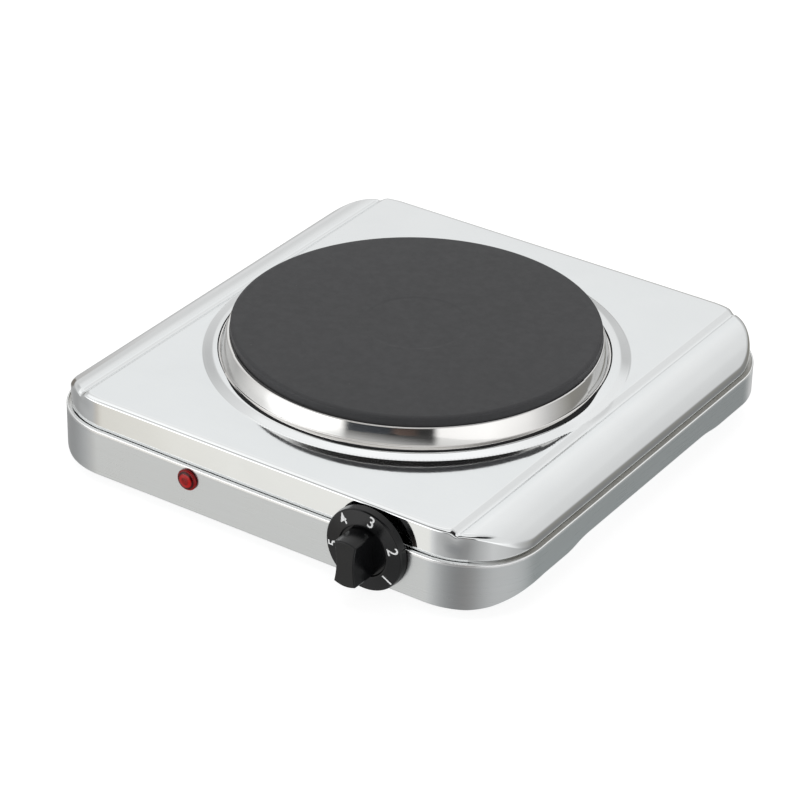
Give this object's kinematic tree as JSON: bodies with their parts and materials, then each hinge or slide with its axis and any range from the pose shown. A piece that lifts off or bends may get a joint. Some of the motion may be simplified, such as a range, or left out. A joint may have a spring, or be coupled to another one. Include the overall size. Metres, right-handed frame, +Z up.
{
  "type": "electric hot plate burner",
  "caption": "Square table hob: a solid cast-iron cooking plate in a bright trim ring on a stainless housing, with a black dial knob and a red pilot lamp on the front wall.",
  "frame": {"origin": "middle of the footprint of the whole object (knob in front, cord gland behind), on the surface that the feet stand on", "axes": "+Z up out of the cooking plate, -Y towards the front wall with the knob, +X to the right seen from the front"},
  "size_m": [0.2676, 0.293, 0.0607],
  "materials": {
    "cover_steel": "near-mirror polished stainless sheet",
    "shell_steel": "bright stainless sheet with a faint horizontal brushing",
    "cast_iron": "matt dark grey heat-proof coating",
    "chrome": "mirror polished stainless trim",
    "black_plastic": "black satin thermoset",
    "lamp_red": "clear red, glossy",
    "rubber": "matt black",
    "zinc_steel": "zinc plated",
    "galvanised": "galvanised sheet",
    "ceramic": "unglazed white ceramic",
    "brass": "plain brass",
    "white_plastic": "off-white plastic",
    "wire_brown": "brown heat-proof sleeving",
    "wire_blue": "blue heat-proof sleeving",
    "wire_green": "green heat-proof sleeving"
  },
  "bodies": {
    "root": {"base_shell": "shell_steel", "bottom_plate": "galvanised", "top_cover": "cover_steel", "cast_iron_plate": "cast_iron", "trim_ring": "chrome", "heating_ring_outer": "ceramic", "heating_ring_inner": "ceramic", "plate_back_cover": "galvanised", "ceramic_terminal_block": "ceramic", "terminal_pin_live": "brass", "terminal_pin_neutral": "brass", "terminal_pin_spare": "brass", "clamp_bar": "zinc_steel", "centre_stud": "zinc_steel", "clamp_washer": "zinc_steel", "clamp_nut": "zinc_steel", "heat_shield": "galvanised", "shield_nut_upper": "zinc_steel", "shield_nut_lower": "zinc_steel", "thermostat_body": "ceramic", "thermostat_bracket": "zinc_steel", "thermostat_screw_left": "zinc_steel", "thermostat_screw_right": "zinc_steel", "pilot_lamp_lens": "lamp_red", "pilot_lamp_clip": "zinc_steel", "pilot_lamp_body": "white_plastic", "cord_gland": "black_plastic", "gland_nut": "black_plastic", "mains_terminal_block": "white_plastic", "earth_screw": "brass", "lead_live": "wire_brown", "lead_switched": "wire_brown", "lead_neutral": "wire_blue", "lead_lamp_live": "wire_brown", "lead_lamp_neutral": "wire_blue", "lead_earth": "wire_green", "foot_front_left": "rubber", "foot_screw_front_left": "zinc_steel", "cover_post_front_left": "zinc_steel", "cover_screw_front_left": "zinc_steel", "shell_screw_front_left": "zinc_steel", "foot_front_right": "rubber", "foot_screw_front_right": "zinc_steel", "cover_post_front_right": "zinc_steel", "cover_screw_front_right": "zinc_steel", "shell_screw_front_right": "zinc_steel", "foot_rear_left": "rubber", "foot_screw_rear_left": "zinc_steel", "cover_post_rear_left": "zinc_steel", "cover_screw_rear_left": "zinc_steel", "shell_screw_rear_left": "zinc_steel", "foot_rear_right": "rubber", "foot_screw_rear_right": "zinc_steel", "cover_post_rear_right": "zinc_steel", "cover_screw_rear_right": "zinc_steel", "shell_screw_rear_right": "zinc_steel"},
    "knob": {"control_knob": "black_plastic", "thermostat_shaft": "zinc_steel"}
  },
  "joints": [
    {"name": "knob_turn", "type": "hinge", "parent": "root", "child": "knob", "pos_m": [0.0645, -0.1353, 0.024], "axis": [0, 1, 0], "range_deg": [-180, 105]}
  ]
}
